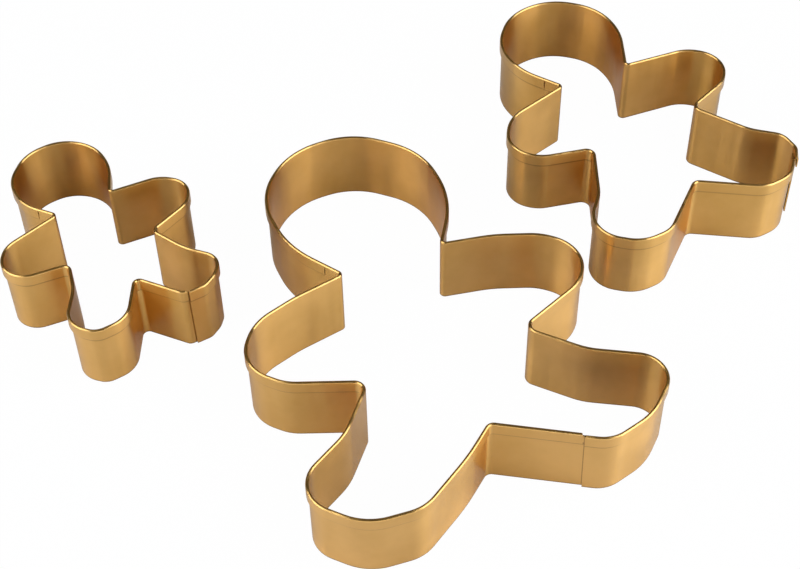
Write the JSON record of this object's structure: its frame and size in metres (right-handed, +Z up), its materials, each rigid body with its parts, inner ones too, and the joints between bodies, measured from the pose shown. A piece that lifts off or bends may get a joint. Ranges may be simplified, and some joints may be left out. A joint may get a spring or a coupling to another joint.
{
  "type": "cookie cutter set",
  "caption": "Gingerbread-figure cookie cutters in graded sizes, each one thin strip on edge bent to the outline, with a folded-over safe rim, a plain cutting edge and a welded lap seam.",
  "frame": {"origin": "middle of the set's outline, on the surface that the cutting edges stand on", "axes": "+Z up from the cutting edges to the folded rims, +X across the set from the small cutter to the medium one, +Y from the feet of the large cutter to its head"},
  "size_m": [0.2232, 0.1618, 0.022],
  "materials": {
    "gold_strip": "satin, finely brushed along the strip",
    "seam_weld": "dull spot weld"
  },
  "bodies": {
    "large_cutter": {"large_band": "gold_strip", "large_seam_welds": "seam_weld"},
    "medium_cutter": {"medium_band": "gold_strip", "medium_seam_welds": "seam_weld"},
    "small_cutter": {"small_band": "gold_strip", "small_seam_welds": "seam_weld"}
  },
  "joints": [
    {"name": "medium_lift", "type": "slide", "parent": "large_cutter", "child": "medium_cutter", "axis": [0, 0, 1], "range_m": [0, 0.05]},
    {"name": "small_lift", "type": "slide", "parent": "large_cutter", "child": "small_cutter", "axis": [0, 0, 1], "range_m": [0, 0.05]}
  ]
}
